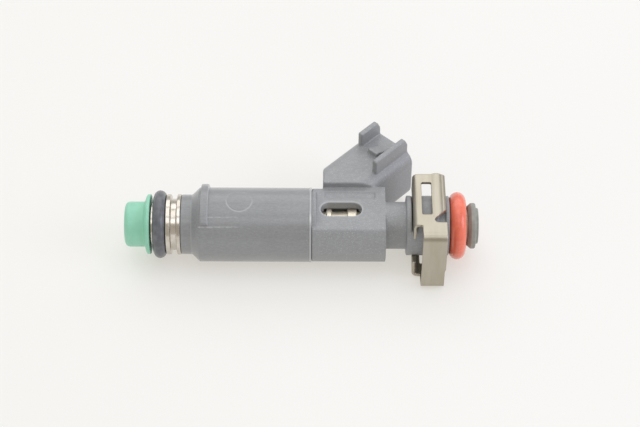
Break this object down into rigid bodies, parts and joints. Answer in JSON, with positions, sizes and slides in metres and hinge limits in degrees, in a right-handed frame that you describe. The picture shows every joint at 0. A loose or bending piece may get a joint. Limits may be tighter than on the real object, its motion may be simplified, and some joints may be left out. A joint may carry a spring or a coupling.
{
  "type": "fuel injector",
  "caption": "Top-feed fuel injector: a grey moulded barrel with a leaning plug socket, green nozzle cap, two O-rings and a steel retaining clip over the inlet collar.",
  "frame": {"origin": "on the injector's axis, in the middle of the upper O-ring that seals in the fuel rail cup", "axes": "+X along the axis from the spray tip toward the fuel inlet, +Y toward the side the connector leans to, +Z square to the two flats of the body"},
  "size_m": [0.0755, 0.0351, 0.0183],
  "materials": {
    "green_cap": "moulded, satin",
    "black_rubber": "moulded, slightly greasy sheen",
    "red_rubber": "moulded, smooth sheen",
    "bright_steel": "turned and polished stainless steel",
    "stainless": "drawn stainless steel",
    "soft_iron": "turned magnetic steel, dull",
    "bobbin_plastic": "moulded black plastic",
    "copper_wire": "enamelled copper wire",
    "grey_nylon": "glass-filled nylon, satin moulded",
    "tinned_brass": "tin-plated brass",
    "grey_disc": "moulded grey plastic",
    "filter_plastic": "moulded dark plastic",
    "filter_gauze": "fine woven gauze",
    "spring_steel": "bright rolled spring steel"
  },
  "bodies": {
    "injector": {"nozzle_cap": "green_cap", "lower_o_ring": "black_rubber", "nozzle_barrel": "bright_steel", "orifice_plate": "stainless", "valve_seat": "stainless", "ball_guide": "stainless", "return_spring": "stainless", "spring_adjuster": "stainless", "pole_piece": "soft_iron", "armature_sleeve": "stainless", "coil_bobbin": "bobbin_plastic", "coil_winding": "copper_wire", "solenoid_can": "soft_iron", "can_washer": "soft_iron", "barrel_sleeve": "grey_nylon", "connector_body": "grey_nylon", "terminal_pin_1": "tinned_brass", "terminal_pin_2": "tinned_brass", "inlet_tube": "stainless", "inlet_disc": "grey_disc", "filter_frame": "filter_plastic", "filter_mesh": "filter_gauze", "upper_o_ring": "red_rubber"},
    "needle": {"valve_ball": "bright_steel", "needle_rod": "stainless", "armature": "soft_iron"},
    "clip": {"retaining_clip": "spring_steel"}
  },
  "joints": [
    {"name": "needle_lift", "type": "slide", "parent": "injector", "child": "needle", "axis": [1, 0, 0], "range_m": [0, 0.0001], "stiffness_N_per_m": 2000, "springref_m": -0.001, "deforming": ["return_spring"]},
    {"name": "clip_pull", "type": "slide", "parent": "injector", "child": "clip", "axis": [0, -1, 0], "range_m": [0, 0.016]}
  ]
}
